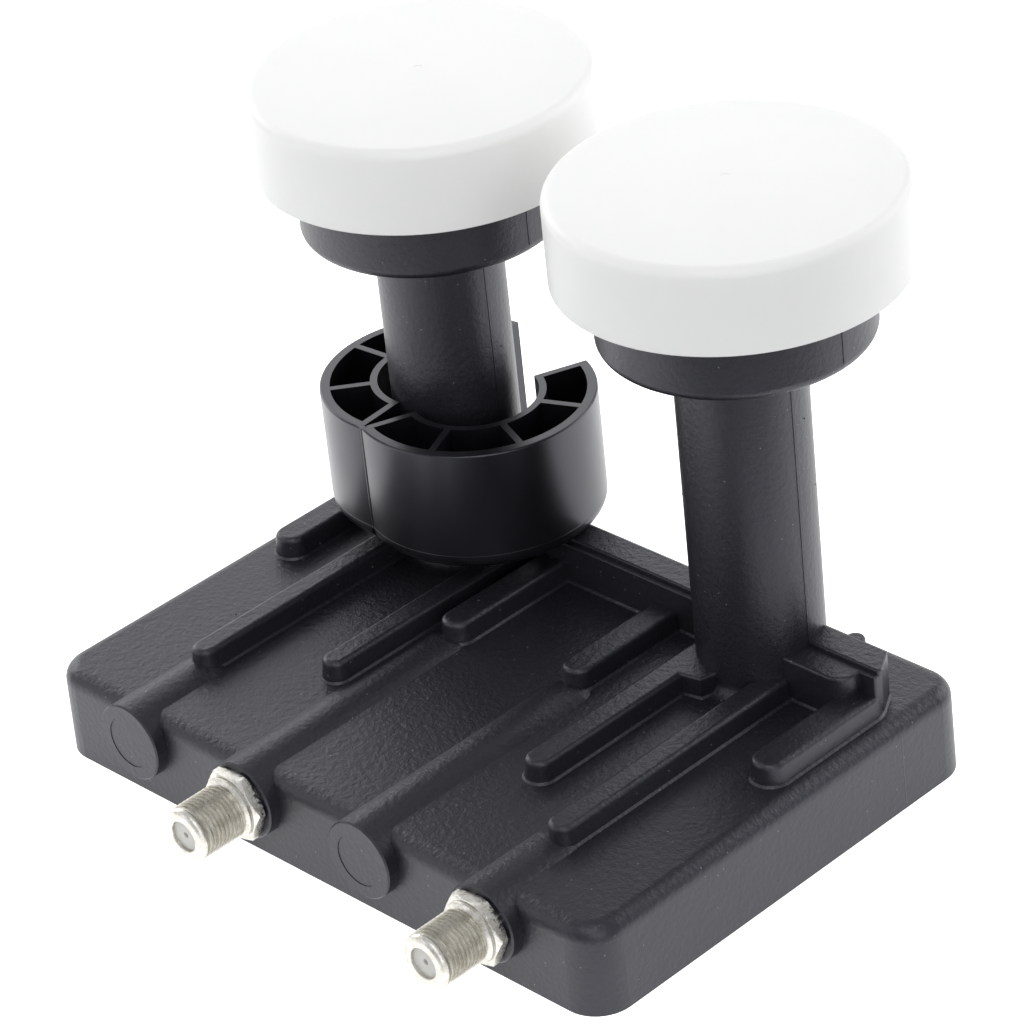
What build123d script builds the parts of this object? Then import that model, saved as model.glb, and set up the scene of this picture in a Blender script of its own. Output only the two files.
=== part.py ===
"""Satellite LNB with two feeds, in millimetres.

The underside of the body lies on Z = 0 and its centre is the origin. The F
connectors face -Y, the necks rise along +Z near the rear.
"""
import os

from build123d import *

os.makedirs("parts", exist_ok=True)

# Body casting
BODY_W = 121.8
BODY_D = 85.0
BODY_H = 15.7
BODY_CORNER_R = 6.3
BODY_TOP_R = 2.7
BODY_DRAFT = 0.9
ROOF_T = 2.5
COVER_INSET = 1.8
LEDGE_W = 3.2

# Feeds: their pitch and how far their row lies in front of the rear side
FEED_PITCH = 64.8
FEED_INSET = 16.0
FEEDS = (-FEED_PITCH / 2, FEED_PITCH / 2)
FEED_Y = BODY_D / 2 - FEED_INSET

# Ports on the front
PORT_PITCH = 26.3
PORT_Z = 10.3
PORTS = [(i - 1.5) * PORT_PITCH for i in range(4)]
BLANK_PORTS = (PORTS[0], PORTS[2])
LIVE_PORTS = (PORTS[1], PORTS[3])

# Ribs on the roof: centre, width at the root and reach in front of the feeds
RIB_H = 3.7
RIB_DRAFT = 7.0
RIB_TOP_R = 0.9
FOOT = 0.35
RIBS = (
    (7.6 - BODY_W / 2, 6.2, 24.1),
    (PORTS[0], 5.0, 55.7),
    (PORTS[1] - 6.75, 5.0, 45.4),
    (PORTS[1] + 0.85, 6.0, 25.9),
    (PORTS[2] - 0.55, 5.8, 23.9),
    (FEEDS[1] - 6.8, 5.4, 45.8),
    (PORTS[3] + 0.75, 5.2, 55.9),
    (BODY_W / 2 - 6.9, 6.6, 25.5),
)
RIBS_TO_NECK = (1, 5, 6)

# Corner web between a rib and the right neck, measured from that feed
GUSSET = ((-7.0, -14.5), (-4.3, -13.9), (-1.0, -13.2), (0.1, -9.6), (-7.0, -7.0))

# Rear web with its ledge and pads
WEB_T = 5.1
WEB_END = 4.2
WEB_TOP = 23.8
WEB_CUT = (2.5, 4.3)
WEB_CORNER_R = 0.5
LEDGE_TOP = 23.0
LEDGE_OUT = 0.9
PAD_OUT = 5.0
PAD_END = 7.2
PAD_CORNER_R = 3.2
STUB_R = 1.65
STUB_H = 1.0
STUB_INSET = 2.9

# Necks and horns
NECK_R = 10.35
GUIDE_R = 8.74
NECK_ROOT_R = 2.2
SEAM_W = 0.5
SEAM_OUT = 0.08
HORN_BASE = 75.4
HORN_R = 21.5
HORN_H = 12.6
HORN_EDGE_R = 1.7
HORN_FLOOR_T = 1.8
CHOKE_R = 26.1
CHOKE_H = 10.4
CHOKE_STEP = HORN_BASE + HORN_H
CHOKE_TOP = CHOKE_STEP + CHOKE_H
CHOKE_WALL = 1.3
CHOKE_RINGS = (14.6, 20.2)
FLARE_R = 10.1

# Caps
CAP_R = 27.6
CAP_ROOF_T = 1.3
CAP_HEADROOM = 1.35
CAP_TOP = CHOKE_TOP + CAP_HEADROOM + CAP_ROOF_T
CAP_DOME = 0.8
CAP_HOOK = 1.05
CAP_EDGE_R = 1.6
CAP_GAP = 0.15
SNAP_OUT = 0.75
GATE_R = 0.8
GATE_DEPTH = 0.06
SEAL_CORD = 1.8
SEAL_Z = CHOKE_STEP + 4.0

# Bosses and connectors of the ports
BOSS_R = 6.67
BOSS_OUT = 2.1
BOSS_EDGE = 0.25
DISC_R = 4.4
DISC_DEPTH = 0.1
HEX_FLATS = 11.0
HEX_TURN = -4.5
HEX_CORNER_R = 6.32
HEX_T = 2.2
HEX_FACE_R = 5.35
HEX_BEVEL = 0.55
BARREL_R = 4.7625
BARREL_L = 12.1
BARREL_EDGE = 0.7
SHOULDER_R = 5.15
SHOULDER_T = 0.7
MOUTH_R = 2.6
MOUTH_DEPTH = 0.6
SHANK_R = 4.0
SHANK_L = 9.6
PORT_SEAL_R = 5.1
PORT_SEAL_T = 0.8
FACE_T = 0.8
PIN_HOLE_R = 0.5
CONTACT_R = 0.5
TAIL_L = 9.5
TUBE_R = 0.9

# Base cover and what lies behind it
COVER_T = 2.0
GASKET_T = 0.5
COVER_GAP = 0.15
SCREW_R = 1.5
SCREW_HEAD_R = 2.8
SCREW_L = 9.0
SCREW_INSET = (7.4, 9.0)
SCREW_BOSS_R = 3.4
BOARD_T = 0.8
BOARD_GAP = 0.6
BOARD_SIDE_GAP = 2.9
TONGUE_WALL = 1.4
CUP_WALL = 1.3
SHIELD_FLOOR_Z = 4.0
SHIELD_FLOOR_T = 1.0
SHIELD_WALL = 1.2
SMALL_SCREW_R = 1.25
SMALL_SCREW_INSET = (2.5, 3.0)
SMALL_BOSS_R = 2.6
SMALL_HEAD_R = 2.3
SMALL_HEAD_T = 1.2
PROBE_R = 0.45
PROBE_OUT = 5.4
PROBE_H = (4.6, 8.2)

# Parts on the board: place as a share of its half sizes, then width and depth
CHIPS = (
    (-0.38, -0.27, 7.0, 7.0),
    (-0.38, 0.2, 4.0, 4.0),
    (0.38, -0.27, 7.0, 7.0),
    (0.38, 0.2, 4.0, 4.0),
    (-0.77, -0.34, 5.0, 6.0),
)
CHIP_H = 0.9
CAN_PLACE = (0.57, -0.61)
CAN_SIZE = (5.0, 3.2, 2.6)

# Adapter ring: two half shells on a film hinge
COLLAR_R = 20.0
COLLAR_BORE_R = 10.5
COLLAR_H = 21.6
COLLAR_WALL = 1.7
COLLAR_INNER_WALL = 1.2
COLLAR_FLOOR_T = 1.5
COLLAR_EDGE_R = 2.6
COLLAR_CELLS = 4
COLLAR_RIB_T = 1.15
COLLAR_SHIFT = (-3.1, 0.15)
COLLAR_TURN = 5.0
COLLAR_OPEN = 27.0
COLLAR_SPLIT_GAP = 0.18
HINGE_R = 0.5
HINGE_INSET = 0.35
HINGE_GAP = 0.15
HINGE_LIFT = 0.1

# Overlap of joined shapes, and how far a cut runs past the face it starts on
EPS = 0.01
PAST = 1.0

# Sizes that follow from the ones above
FRONT_Y = -BODY_D / 2
BOSS_Y = FRONT_Y - BOSS_OUT
WEB_FRONT = FEED_Y
WEB_HALF_L = BODY_W / 2 - WEB_END
PAD_HALF_L = BODY_W / 2 - PAD_END
WEB_BACK = WEB_FRONT + WEB_T
LEDGE_Z = COVER_T + GASKET_T
CAVITY_INSET = COVER_INSET + LEDGE_W
CAVITY_HALF_W = BODY_W / 2 - CAVITY_INSET
CAVITY_HALF_D = BODY_D / 2 - CAVITY_INSET
CAVITY_TOP = BODY_H - ROOF_T
BOARD_TOP = PORT_Z - CONTACT_R
BOARD_Z = BOARD_TOP - BOARD_T
CAP_INNER_R = CHOKE_R + CAP_GAP
SEAL_R = CAP_INNER_R - SEAL_CORD / 2
COVER_SCREW_X = BODY_W / 2 - SCREW_INSET[0]
COVER_SCREW_Y = BODY_D / 2 - SCREW_INSET[1]
COVER_SCREWS = [(x, y) for x in (-COVER_SCREW_X, 0.0, COVER_SCREW_X) for y in (-COVER_SCREW_Y, COVER_SCREW_Y)]
BOARD_HALF_W = CAVITY_HALF_W - BOARD_SIDE_GAP
BOARD_HALF_D = COVER_SCREW_Y - SCREW_BOSS_R - BOARD_GAP
SMALL_X = BOARD_HALF_W - SMALL_SCREW_INSET[0]
SMALL_Y = BOARD_HALF_D - SMALL_SCREW_INSET[1]
SHIELD_SCREWS = [(x, y) for x in (-SMALL_X, 0.0, SMALL_X) for y in (-SMALL_Y, SMALL_Y)]
CUP_R = GUIDE_R + CUP_WALL
TONGUE_HALF_W = CUP_R + TONGUE_WALL


def save(shape, node):
    export_step(shape, f"parts/{node}.step")


def slab(width, depth, height, corner, z=0.0, taper=0.0):
    """A plate with rounded corners standing on the height z."""
    outline = Plane.XY.offset(z) * RectangleRounded(width, depth, corner)
    return extrude(outline, height, taper=taper)


def post(x, y, z, radius, height):
    return Pos(x, y, z) * Cylinder(radius, height, align=(Align.CENTER, Align.CENTER, Align.MIN))


def rod(x, y, z, radius, length):
    """A cylinder along +Y that starts at y."""
    body = Cylinder(radius, length, align=(Align.CENTER, Align.CENTER, Align.MIN))
    return Pos(x, y, z) * Rot(-90, 0, 0) * body


def box(x0, x1, y0, y1, z0, z1):
    return Pos(x0, y0, z0) * Box(x1 - x0, y1 - y0, z1 - z0, align=(Align.MIN, Align.MIN, Align.MIN))


def turned(points, x=0.0, y=0.0):
    """A ring from a closed (radius, height) outline turned about a vertical axis."""
    outline = Plane.XZ * make_face(Polyline(*points, close=True))
    return Pos(x, y, 0) * revolve(outline, Axis.Z)


def rib(x, width, y_front, y_back):
    """A drafted rib with a round nose and a spread foot on the roof."""
    length = y_back - y_front
    seat = Pos(x, (y_front + y_back) / 2, BODY_H - EPS) * Rot(0, 0, 90)
    body = extrude(seat * SlotOverall(length, width), RIB_H + EPS, taper=RIB_DRAFT)
    body = fillet(body.faces().sort_by(Axis.Z)[-1].edges(), RIB_TOP_R)
    foot = extrude(seat * SlotOverall(length + 2 * FOOT, width + 2 * FOOT), FOOT + EPS, taper=45)
    return body + foot


def ridge(x, y_end):
    """The round back of a port boss, which fades out under a rib."""
    body = rod(x, BOSS_Y, PORT_Z, BOSS_R, y_end - BOSS_Y)
    body = chamfer(body.edges().sort_by(Axis.Y)[0], BOSS_EDGE)
    return body + Pos(x, y_end, PORT_Z) * Sphere(BOSS_R)


def standing(plan, top, edge):
    """A wall from the roof to a height, with a soft top edge and a 45 degree foot."""
    seat = Pos(0, 0, BODY_H - EPS)
    wall = extrude(seat * plan, top - BODY_H + EPS)
    wall = fillet(wall.faces().sort_by(Axis.Z)[-1].edges(), edge)
    return wall + extrude(seat * offset(plan, FOOT), FOOT + EPS, taper=45)


def bar(y0, y1, top):
    """A wall across the roof with its rear corners cut aslant."""
    half = WEB_HALF_L
    cut_x, cut_y = WEB_CUT
    right = [(half, y0), (half, y1 - cut_y), (half - cut_x, y1)]
    left = [(-x, y) for x, y in reversed(right)]
    plan = make_face(Polyline(*right, *left, close=True))
    return standing(fillet(plan.vertices(), WEB_CORNER_R), top, 0.35)


def pad(side):
    """The wide part of the ledge, outboard of one neck."""
    x0 = FEED_PITCH / 2
    depth = PAD_OUT + WEB_T
    plan = RectangleRounded(PAD_HALF_L - x0, depth, PAD_CORNER_R)
    return standing(Pos(side * (x0 + PAD_HALF_L) / 2, WEB_BACK - depth / 2) * plan, LEDGE_TOP, 0.5)


def gusset():
    plan = make_face(Polyline(*[(FEEDS[1] + x, FEED_Y + y) for x, y in GUSSET], close=True))
    return standing(plan, BODY_H + RIB_H, 0.5)


def neck(x):
    """Neck and horn, turned in one piece with the root fillet on the roof."""
    foot = BOARD_TOP
    shell = (
        (0, foot),
        (NECK_R, foot),
        (NECK_R, HORN_BASE),
        (HORN_R, HORN_BASE),
        (HORN_R, CHOKE_STEP),
        (CHOKE_R, CHOKE_STEP),
        (CHOKE_R, CHOKE_TOP),
        (0, CHOKE_TOP),
    )
    body = turned(shell)
    rims = body.edges().filter_by(GeomType.CIRCLE)
    body = fillet([e for e in rims if abs(e.center().Z - HORN_BASE) < EPS and e.radius > HORN_R - EPS], HORN_EDGE_R)
    rims = body.edges().filter_by(GeomType.CIRCLE)
    body = fillet([e for e in rims if abs(e.center().Z - HORN_BASE) < EPS and e.radius < NECK_R + EPS], 1.2)
    root = turned(((NECK_R - 1, BODY_H - 1), (NECK_R + NECK_ROOT_R, BODY_H - 1), (NECK_R + NECK_ROOT_R, BODY_H),
                   (NECK_R, BODY_H + NECK_ROOT_R), (NECK_R - 1, BODY_H + NECK_ROOT_R)))
    hollow = Pos(0, 0, BODY_H + NECK_ROOT_R) * Torus(NECK_R + NECK_ROOT_R, NECK_ROOT_R)
    root = root - hollow
    return Pos(x, FEED_Y, 0) * (body + root)


def horn_hollow(x):
    """Guide bore, flare and the choke slots of one horn."""
    floor = HORN_BASE + HORN_FLOOR_T
    tube_top = CHOKE_TOP - 3.0
    bore = post(0, 0, 0, GUIDE_R, tube_top)
    flare = turned(((0, tube_top - 6), (GUIDE_R, tube_top - 6), (FLARE_R, CHOKE_TOP + 1), (0, CHOKE_TOP + 1)))
    hollow = bore + flare
    inner = FLARE_R + CHOKE_WALL
    for ring in CHOKE_RINGS:
        outer = ring - CHOKE_WALL / 2
        slot = turned(((inner, floor), (outer, floor), (outer, CHOKE_TOP + 1), (inner, CHOKE_TOP + 1)))
        hollow = hollow + slot
        inner = ring + CHOKE_WALL / 2
    outer = CHOKE_R - SEAL_CORD - CHOKE_WALL
    last = turned(((inner, CHOKE_STEP + CHOKE_WALL), (outer, CHOKE_STEP + CHOKE_WALL), (outer, CHOKE_TOP + 1),
                   (inner, CHOKE_TOP + 1)))
    hollow = hollow + last
    mouth = turned(((0, tube_top), (CHOKE_RINGS[1], tube_top), (CHOKE_RINGS[1], CHOKE_TOP + 1), (0, CHOKE_TOP + 1)))
    half = SEAL_CORD / 2
    groove = turned(((SEAL_R - half, SEAL_Z - half), (CHOKE_R + 1, SEAL_Z - half), (CHOKE_R + 1, SEAL_Z + half),
                     (SEAL_R - half, SEAL_Z + half)))
    return Pos(x, FEED_Y, 0) * (hollow + mouth + groove)


def seams(x):
    """The parting flash down both sides of a neck and its horn."""
    flash = None
    for side in (-1, 1):
        for radius, z0, z1 in ((NECK_R, BODY_H, HORN_BASE + 1), (HORN_R, HORN_BASE + HORN_EDGE_R, CHOKE_STEP)):
            near, far = sorted((x + side * (radius - 0.4), x + side * (radius + SEAM_OUT)))
            strip = box(near, far, FEED_Y - SEAM_W / 2, FEED_Y + SEAM_W / 2, z0, z1)
            flash = strip if flash is None else flash + strip
    return flash


def make_housing():
    body = slab(BODY_W, BODY_D, BODY_H, BODY_CORNER_R, taper=BODY_DRAFT)
    body = fillet(body.faces().sort_by(Axis.Z)[-1].edges(), BODY_TOP_R)

    for i, (x, width, reach) in enumerate(RIBS):
        y_back = FEED_Y - 3 if i in RIBS_TO_NECK else WEB_FRONT + 2
        body = body + rib(x, width, FEED_Y - reach, y_back)
    for x, i, run in zip(PORTS, (1, 3, 4, 6), (1.0, -1.0, -1.0, 1.0)):
        body = body + ridge(x, FEED_Y - RIBS[i][2] + run)

    body = body + bar(WEB_FRONT - LEDGE_OUT, WEB_BACK, LEDGE_TOP)
    body = body + bar(WEB_FRONT, WEB_BACK, WEB_TOP)
    body = body + pad(-1) + pad(1) + gusset()
    stub = post(RIBS[6][0], BODY_D / 2 - STUB_INSET, CAVITY_TOP, STUB_R, BODY_H + STUB_H - CAVITY_TOP)
    body = body + fillet(stub.edges().sort_by(Axis.Z)[-1], 0.6)

    cover_w = BODY_W - 2 * COVER_INSET
    cover_d = BODY_D - 2 * COVER_INSET
    body = body - slab(cover_w, cover_d, LEDGE_Z + EPS, BODY_CORNER_R - COVER_INSET, z=-EPS)
    depth = CAVITY_TOP - LEDGE_Z + EPS
    cavity = slab(2 * CAVITY_HALF_W, 2 * CAVITY_HALF_D, depth, 2.4, z=LEDGE_Z - EPS)
    # Everything that stands in the cavity is kept out of the cut
    for x, y in COVER_SCREWS:
        cavity = cavity - post(x, y, COVER_T, SCREW_BOSS_R, BODY_H)
        out = 1 if y > 0 else -1
        low, high = sorted((y, out * (CAVITY_HALF_D + PAST)))
        cavity = cavity - box(x - 1.2, x + 1.2, low, high, LEDGE_Z, BODY_H)
    for x, y in SHIELD_SCREWS:
        cavity = cavity - post(x, y, BOARD_TOP, SMALL_BOSS_R, BODY_H)
    for x in FEEDS:
        cavity = cavity - post(x, FEED_Y, BOARD_TOP, NECK_R + 0.2, BODY_H)
    for x in LIVE_PORTS:
        cavity = cavity - rod(x, FRONT_Y, PORT_Z, SHANK_R + 1.6, SHANK_L - BOSS_OUT)
    body = body - cavity

    for x in FEEDS:
        body = body + neck(x) + seams(x)
    for x in FEEDS:
        body = body - horn_hollow(x)

    for x, y in COVER_SCREWS:
        body = body - post(x, y, 0, SCREW_R, SCREW_L + 0.6)
    for x, y in SHIELD_SCREWS:
        body = body - post(x, y, 0, SMALL_SCREW_R, BOARD_TOP + 2.9)
    start = BOSS_Y - PAST
    for x in LIVE_PORTS:
        body = body - rod(x, start, PORT_Z, SHANK_R, SHANK_L + 2 * PAST)
        body = body - rod(x, start, PORT_Z, PORT_SEAL_R, PORT_SEAL_T + PAST)
    for x in BLANK_PORTS:
        body = body - rod(x, start, PORT_Z, DISC_R, DISC_DEPTH + PAST)
    return body


def make_cap(x):
    rim = CHOKE_STEP - CAP_HOOK
    roof = CAP_TOP - CAP_ROOF_T
    lip = CHOKE_STEP - 0.1
    dome_r = (CAP_R ** 2 + CAP_DOME ** 2) / (2 * CAP_DOME)
    shell = turned((
        (0, roof),
        (CAP_INNER_R, roof),
        (CAP_INNER_R, lip),
        (CAP_INNER_R - SNAP_OUT, lip - 0.1),
        (CAP_INNER_R - SNAP_OUT, lip - 0.5),
        (CAP_INNER_R, rim),
        (CAP_R, rim),
        (CAP_R, CAP_TOP + CAP_DOME + 1),
        (0, CAP_TOP + CAP_DOME + 1),
    ))
    crown = Pos(0, 0, CAP_TOP + CAP_DOME - dome_r) * Sphere(dome_r)
    trim = post(0, 0, rim - PAST, CAP_R + PAST, CAP_TOP + CAP_DOME - rim + 3 * PAST)
    shell = shell & (crown & trim)
    rims = [e for e in shell.edges().filter_by(GeomType.CIRCLE) if abs(e.radius - CAP_R) < EPS]
    shell = fillet(max(rims, key=lambda e: e.center().Z), CAP_EDGE_R)
    gate = post(0, 0, CAP_TOP + CAP_DOME - GATE_DEPTH, GATE_R, PAST)
    return Pos(x, FEED_Y, 0) * (shell - gate)


def make_cap_seal(x):
    return Pos(x, FEED_Y, SEAL_Z) * Torus(SEAL_R, SEAL_CORD / 2)


def make_connector(x):
    """Barrel and hexagon in one piece; the rear shank sits in the boss."""
    front = BOSS_Y - BARREL_L
    block = extrude(RegularPolygon(HEX_FLATS / 2, 6, major_radius=False), HEX_T)
    bevel = turned(((0, 0), (HEX_CORNER_R, 0), (HEX_CORNER_R, HEX_T - HEX_BEVEL), (HEX_FACE_R, HEX_T), (0, HEX_T)))
    body = Pos(x, BOSS_Y, PORT_Z) * Rot(0, HEX_TURN, 0) * Rot(90, 0, 0) * (block & bevel)
    body = body + rod(x, BOSS_Y - HEX_T - SHOULDER_T, PORT_Z, SHOULDER_R, SHOULDER_T + EPS)
    barrel = rod(x, front, PORT_Z, BARREL_R, BARREL_L - HEX_T)
    barrel = chamfer(barrel.edges().sort_by(Axis.Y)[0], BARREL_EDGE)
    body = body + barrel + rod(x, BOSS_Y - EPS, PORT_Z, SHANK_R, SHANK_L + EPS)
    return body - rod(x, front - PAST, PORT_Z, MOUTH_R, BARREL_L + SHANK_L + 2 * PAST)


def make_insulator(x):
    """Sleeve with a closed face that leaves a hole for the cable's pin."""
    start = BOSS_Y - BARREL_L + MOUTH_DEPTH
    length = BOSS_Y + SHANK_L - start
    sleeve = rod(x, start, PORT_Z, MOUTH_R, length) - rod(x, start + FACE_T, PORT_Z, TUBE_R, length)
    return sleeve - rod(x, start - PAST, PORT_Z, PIN_HOLE_R, FACE_T + 2 * PAST)


def make_contact(x):
    """Spring tube behind the insulator's face and the tail that lies on the board."""
    start = BOSS_Y - BARREL_L + MOUTH_DEPTH + FACE_T
    end = BOSS_Y + SHANK_L
    tube = rod(x, start, PORT_Z, TUBE_R, end - start)
    tail = rod(x, end - EPS, PORT_Z, CONTACT_R, TAIL_L)
    return tube + tail - rod(x, start - PAST, PORT_Z, PIN_HOLE_R, 6 + PAST)


def make_port_seal(x):
    return rod(x, BOSS_Y, PORT_Z, PORT_SEAL_R, PORT_SEAL_T) - rod(x, BOSS_Y - PAST, PORT_Z, SHANK_R, 3 * PAST)


def make_cover():
    width = BODY_W - 2 * (COVER_INSET + COVER_GAP)
    depth = BODY_D - 2 * (COVER_INSET + COVER_GAP)
    plate = slab(width, depth, COVER_T, BODY_CORNER_R - COVER_INSET - COVER_GAP)
    for x, y in COVER_SCREWS:
        plate = plate - post(x, y, -PAST, SCREW_R, COVER_T + 2 * PAST) - countersink(x, y)
    return plate


def countersink(x, y):
    depth = SCREW_HEAD_R - SCREW_R
    return turned(((0, 0), (SCREW_HEAD_R, 0), (SCREW_R, depth), (0, depth)), x, y)


def make_cover_screws():
    screws = []
    for x, y in COVER_SCREWS:
        screw = countersink(x, y) + post(x, y, 0, SCREW_R, SCREW_L)
        slot = box(x - 1.5, x + 1.5, y - 0.3, y + 0.3, -1, 0.7) + box(x - 0.3, x + 0.3, y - 1.5, y + 1.5, -1, 0.7)
        screws.append(screw - slot)
    return Compound(screws)


def make_gasket():
    width = BODY_W - 2 * (COVER_INSET + COVER_GAP)
    depth = BODY_D - 2 * (COVER_INSET + COVER_GAP)
    ring = slab(width, depth, GASKET_T, BODY_CORNER_R - COVER_INSET - COVER_GAP, z=COVER_T)
    hole = slab(2 * CAVITY_HALF_W, 2 * CAVITY_HALF_D, GASKET_T + 2 * PAST, 2.4, z=COVER_T - PAST)
    return ring - hole


def board_outline(inset, z, height):
    """Board shape: a rectangle with two tongues under the guides."""
    half_w = BOARD_HALF_W - inset
    half_d = BOARD_HALF_D - inset
    reach = TONGUE_HALF_W - inset
    body = box(-half_w, half_w, -half_d, half_d, z, z + height)
    for x in FEEDS:
        body = body + box(x - reach, x + reach, 0, CAVITY_HALF_D - BOARD_GAP - inset, z, z + height)
    return body


def make_board():
    board = board_outline(0, BOARD_Z, BOARD_T)
    for x, y in SHIELD_SCREWS:
        board = board - post(x, y, BOARD_Z - PAST, SMALL_SCREW_R, BOARD_T + 2 * PAST)
    return board


def make_shield():
    """Tray under the board, with a back-short cup below each guide."""
    height = BOARD_Z - SHIELD_FLOOR_Z
    floor = SHIELD_FLOOR_Z + SHIELD_FLOOR_T
    tray = board_outline(0, SHIELD_FLOOR_Z, height)
    hollow = board_outline(SHIELD_WALL, floor, height)
    half_wall = SHIELD_WALL / 2
    hollow = hollow - box(-half_wall, half_wall, -BOARD_HALF_D, BOARD_HALF_D, floor, floor + height)
    for x in FEEDS:
        hollow = hollow - post(x, FEED_Y, floor, CUP_R, height)
    for x, y in SHIELD_SCREWS:
        hollow = hollow - post(x, y, floor, SMALL_BOSS_R, height)
    tray = tray - hollow
    for x in FEEDS:
        tray = tray - post(x, FEED_Y, floor, GUIDE_R, height)
    for x, y in SHIELD_SCREWS:
        tray = tray - post(x, y, SHIELD_FLOOR_Z - PAST, SMALL_SCREW_R, height + 2 * PAST)
    return tray


def make_shield_screws():
    screws = []
    for x, y in SHIELD_SCREWS:
        head = post(x, y, SHIELD_FLOOR_Z - SMALL_HEAD_T, SMALL_HEAD_R, SMALL_HEAD_T)
        head = fillet(head.edges().sort_by(Axis.Z)[0], 0.5)
        shank = post(x, y, SHIELD_FLOOR_Z - EPS, SMALL_SCREW_R, BOARD_TOP + 2.6 - SHIELD_FLOOR_Z)
        screws.append(head + shank)
    return Compound(screws)


def make_probes():
    """Two crossed probes per guide, each standing on the board."""
    pins = []
    for x in FEEDS:
        pins.append(post(x, FEED_Y + PROBE_OUT, BOARD_TOP, PROBE_R, PROBE_H[0]))
        pins.append(post(x + PROBE_OUT, FEED_Y, BOARD_TOP, PROBE_R, PROBE_H[1]))
    return Compound(pins)


def make_chips():
    """Packages on the lower face of the board, inside the tray."""
    chips = []
    for share_x, share_y, width, depth in CHIPS:
        centre = Pos(share_x * BOARD_HALF_W, share_y * BOARD_HALF_D, BOARD_Z - CHIP_H / 2)
        chips.append(centre * Box(width, depth, CHIP_H))
    return Compound(chips)


def make_cans():
    """Crystal cans of the two local oscillators."""
    x = CAN_PLACE[0] * BOARD_HALF_W
    can = Pos(0, CAN_PLACE[1] * BOARD_HALF_D, BOARD_Z - CAN_SIZE[2] / 2) * Box(*CAN_SIZE)
    can = fillet(can.edges().filter_by(Axis.Z), 0.8)
    return Compound([Pos(-x, 0, 0) * can, Pos(x, 0, 0) * can])


def half_collar(side):
    """One half of the adapter, closed, with the split on the local Y axis and the hinge at -Y."""
    outer = post(0, 0, 0, COLLAR_R, COLLAR_H)
    outer = fillet(outer.edges().sort_by(Axis.Z)[0], COLLAR_EDGE_R)
    outer = fillet(outer.edges().sort_by(Axis.Z)[-1], 0.3)
    cells = post(0, 0, COLLAR_FLOOR_T, COLLAR_R - COLLAR_WALL, COLLAR_H)
    cells = cells - post(0, 0, 0, COLLAR_BORE_R + COLLAR_INNER_WALL, COLLAR_H + 5)
    half_rib = COLLAR_RIB_T / 2
    edge = COLLAR_SPLIT_GAP / 2 + COLLAR_RIB_T
    cells = cells & box(edge, COLLAR_R, -COLLAR_R, COLLAR_R, 0, COLLAR_H + 5)
    for i in range(1, COLLAR_CELLS):
        wall = box(0, COLLAR_R + 1, -half_rib, half_rib, 0, COLLAR_H + 5)
        cells = cells - Rot(0, 0, -90 + i * 180 / COLLAR_CELLS) * wall
    body = outer - cells - post(0, 0, -1, COLLAR_BORE_R, COLLAR_H + 2)
    body = body & box(COLLAR_SPLIT_GAP / 2, COLLAR_R + 1, -COLLAR_R - 1, COLLAR_R + 1, -1, COLLAR_H + 1)
    return body if side > 0 else mirror(body, Plane.YZ)


def place_collar(shape, lift=0.0):
    """From the closed collar's own frame to its seat on the web."""
    seat = Pos(FEEDS[0] + COLLAR_SHIFT[0], FEED_Y + COLLAR_SHIFT[1], WEB_TOP + lift)
    return seat * Rot(0, 0, COLLAR_TURN) * shape


def make_collar_fixed():
    hinge_y = -COLLAR_R + HINGE_INSET
    low = COLLAR_EDGE_R
    body = half_collar(-1) - post(0, hinge_y, -1, HINGE_R + 0.05, COLLAR_H + 2)
    bead = post(0, hinge_y, low, HINGE_R, COLLAR_H - low)
    strap = box(-HINGE_R - 0.5, 0, hinge_y - 0.2, hinge_y + 0.2, low, COLLAR_H)
    return place_collar(body + bead + strap)


def make_collar_swing():
    hinge_y = -COLLAR_R + HINGE_INSET
    body = half_collar(1) - post(0, hinge_y, -1, HINGE_R + HINGE_GAP, COLLAR_H + 2)
    body = Pos(0, hinge_y, 0) * Rot(0, 0, -COLLAR_OPEN) * Pos(0, -hinge_y, 0) * body
    return place_collar(body, HINGE_LIFT)


save(make_housing(), "housing")
save(make_cover(), "base_cover")
save(make_gasket(), "cover_gasket")
save(make_cover_screws(), "cover_screws")
save(make_board(), "circuit_board")
save(make_shield(), "rf_shield")
save(make_shield_screws(), "shield_screws")
save(make_probes(), "probe_pins")
save(make_chips(), "receiver_chips")
save(make_cans(), "oscillator_cans")
for side, x in zip(("left", "right"), FEEDS):
    save(make_cap(x), f"feed_cap_{side}")
    save(make_cap_seal(x), f"cap_seal_{side}")
for side, x in zip(("left", "right"), LIVE_PORTS):
    save(make_connector(x), f"f_connector_{side}")
    save(make_insulator(x), f"f_insulator_{side}")
    save(make_contact(x), f"f_contact_{side}")
    save(make_port_seal(x), f"f_seal_{side}")
save(make_collar_fixed(), "adapter_fixed_half")
save(make_collar_swing(), "adapter_swing_half")
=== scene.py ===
"""Looks of the satellite LNB: materials, real threads, light and camera.

Everything is in metres and in the frame of the solids: the body lies on Z = 0,
the F connectors face -Y and the necks rise along +Z. Named sizes are in
millimetres and angles in degrees, unless a comment says otherwise.
"""
import math

import bmesh
import bpy
from mathutils import Matrix, Vector


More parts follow.
